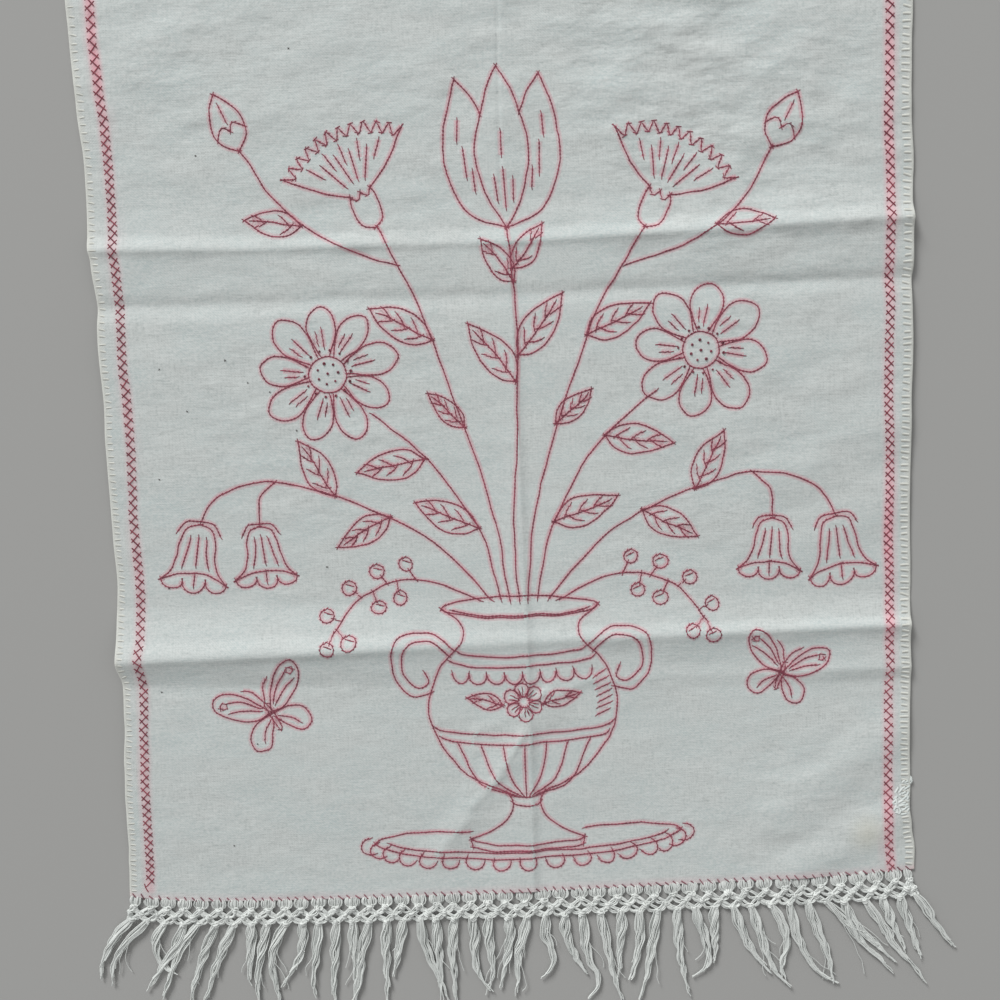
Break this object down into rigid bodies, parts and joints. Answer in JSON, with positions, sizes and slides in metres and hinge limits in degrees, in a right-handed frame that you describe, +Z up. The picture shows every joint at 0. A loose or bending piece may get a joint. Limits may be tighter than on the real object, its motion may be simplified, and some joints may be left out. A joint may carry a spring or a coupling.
{
  "type": "embroidered tea towel",
  "caption": "Flat white woven tea towel with side hems, fold creases, red line embroidery in a plant design, herringbone borders and a hand-knotted thread fringe.",
  "frame": {"origin": "middle of the towel's outline, fringe included, on the surface it lies on", "axes": "+X across the towel to the right, +Y up its length from the fringe to the top hem, +Z up out of the face"},
  "size_m": [0.5538, 0.9988, 0.0092],
  "materials": {
    "cloth": "matt plain weave, washed white",
    "fringe_thread": "soft matt white cotton thread",
    "red_thread": "stranded embroidery cotton with a slight sheen",
    "white_thread": "matt white sewing cotton"
  },
  "bodies": {
    "root": {"towel_cloth": "cloth", "knotted_fringe": "fringe_thread"}
  },
  "joints": []
}
